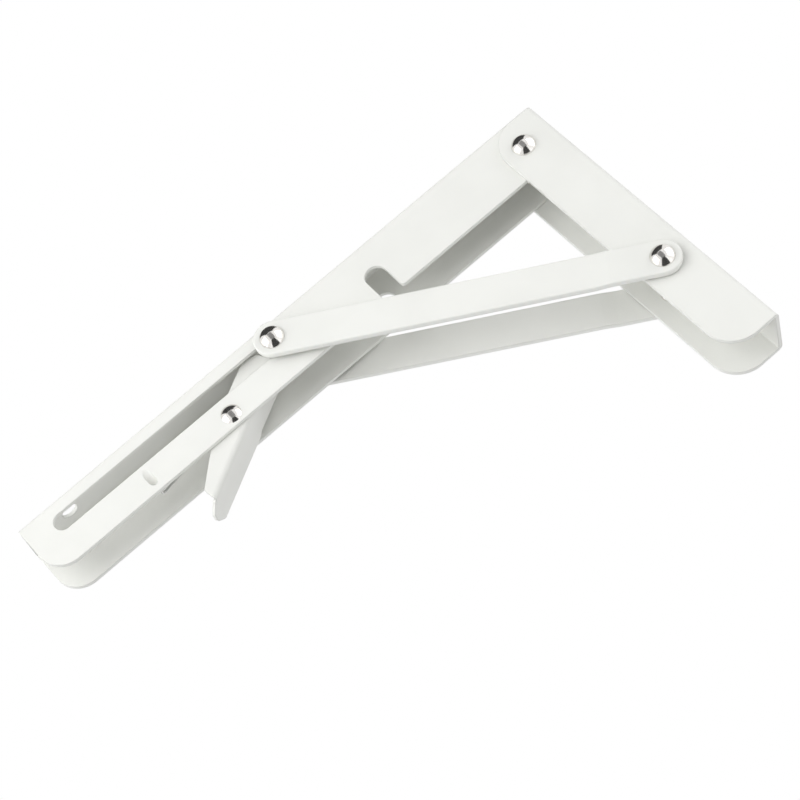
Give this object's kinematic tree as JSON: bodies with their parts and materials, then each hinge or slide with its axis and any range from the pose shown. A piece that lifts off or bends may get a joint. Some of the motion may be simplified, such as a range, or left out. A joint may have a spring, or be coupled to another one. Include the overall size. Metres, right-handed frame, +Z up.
{
  "type": "folding shelf bracket",
  "caption": "Folding shelf bracket with nested channel legs, a brace that slides in a long slot and a sprung release lever under the shelf leg.",
  "frame": {"origin": "centre of the middle screw hole of the wall leg, on the plane of the wall", "axes": "+X out from the wall along the open shelf leg, +Y across the bracket, +Z up the wall; the shelf rests on the top face"},
  "size_m": [0.3, 0.0458, 0.163],
  "materials": {
    "paint": "white powder coat, satin",
    "plate": "polished nickel plate",
    "zinc": "zinc plated",
    "spring": "drawn spring wire"
  },
  "bodies": {
    "wall_side": {"wall_leg": "paint", "hinge_rivet_left": "plate", "hinge_rivet_right": "plate", "brace_rivet_tail_left": "plate", "brace_rivet_tail_right": "plate"},
    "shelf_side": {"shelf_leg": "paint", "lever_pin": "plate", "lever_spring": "spring"},
    "slide_pins": {"slide_pin_left": "plate", "slide_pin_right": "plate", "slide_washer_left": "zinc", "slide_washer_right": "zinc"},
    "brace": {"brace_arm_left": "paint", "brace_arm_right": "paint", "brace_rivet_head_left": "plate", "brace_rivet_head_right": "plate", "brace_washer_left": "zinc", "brace_washer_right": "zinc"},
    "lever": {"release_lever": "paint"}
  },
  "joints": [
    {"name": "fold", "type": "hinge", "parent": "wall_side", "child": "shelf_side", "pos_m": [0.0163, 0, 0.0711], "axis": [0, 1, 0], "range_deg": [0, 90]},
    {"name": "pin_slide", "type": "slide", "parent": "shelf_side", "child": "slide_pins", "axis": [1, 0, 0], "range_m": [0, 0.12136]},
    {"name": "brace_swing", "type": "hinge", "parent": "slide_pins", "child": "brace", "pos_m": [0.161, 0, 0.0765], "axis": [0, 1, 0], "range_deg": [0, 31.48]},
    {"name": "lever_release", "type": "hinge", "parent": "shelf_side", "child": "lever", "pos_m": [0.1969, 0, 0.06326], "axis": [0, -1, 0], "range_deg": [0, 30], "stiffness_Nm_per_rad": 0.12, "springref_deg": -28.65, "deforming": ["lever_spring"]}
  ],
  "couplings": [
    {"joint": "pin_slide", "follows": "fold", "m_per_rad": 0.077255},
    {"joint": "brace_swing", "follows": "fold", "ratio": 0.34972}
  ]
}
